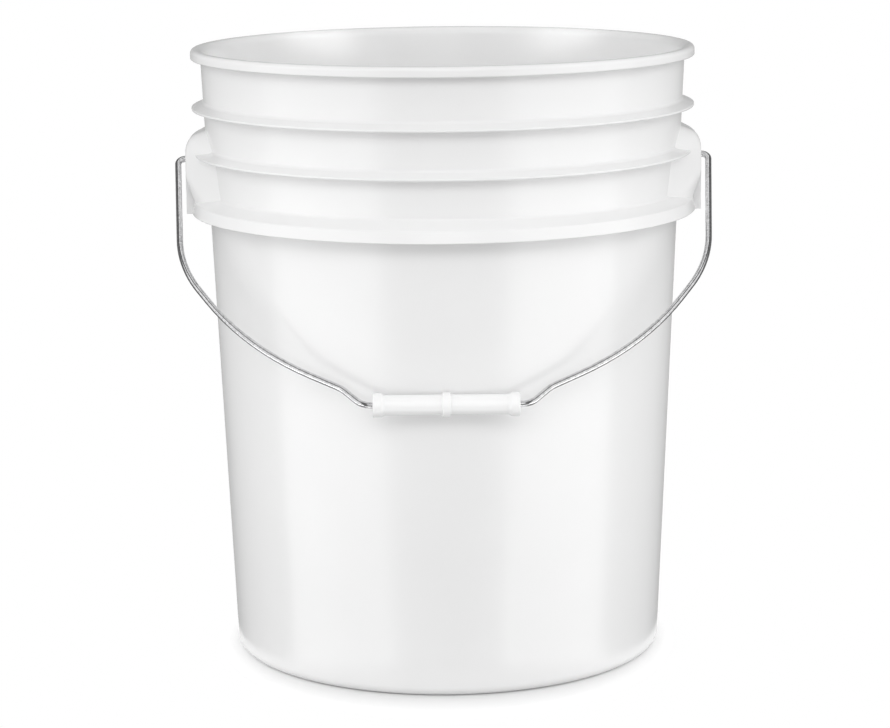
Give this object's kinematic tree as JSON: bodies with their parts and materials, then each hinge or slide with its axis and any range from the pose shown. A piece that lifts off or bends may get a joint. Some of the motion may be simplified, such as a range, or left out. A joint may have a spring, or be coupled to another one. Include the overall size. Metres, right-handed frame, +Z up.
{
  "type": "plastic bucket",
  "caption": "Tall tapered open-head pail with a hooked rim, stiffening ribs, a nesting skirt and hollow ears that hold a swinging wire bail with a turning sleeve grip.",
  "frame": {"origin": "centre of the foot ring, on the ground", "axes": "+Z up along the pail's axis; +X through the right ear; the bail rests against the front wall at -Y"},
  "size_m": [0.3248, 0.3054, 0.368],
  "materials": {
    "pail_plastic": "white HDPE, satin gloss as moulded",
    "galvanised_wire": "drawn galvanised wire, slightly dull",
    "grip_plastic": "white polyethylene, satin gloss as moulded"
  },
  "bodies": {
    "pail": {"pail_body": "pail_plastic"},
    "bail": {"bail_wire": "galvanised_wire"},
    "grip": {"bail_grip": "grip_plastic"}
  },
  "joints": [
    {"name": "bail_swing", "type": "hinge", "parent": "pail", "child": "bail", "pos_m": [0, 0, 0.3005], "axis": [-1, 0, 0], "range_deg": [0, 260.8]},
    {"name": "grip_spin", "type": "hinge", "parent": "bail", "child": "grip", "pos_m": [0, -0.14504, 0.17699], "axis": [1, 0, 0], "continuous": true}
  ]
}
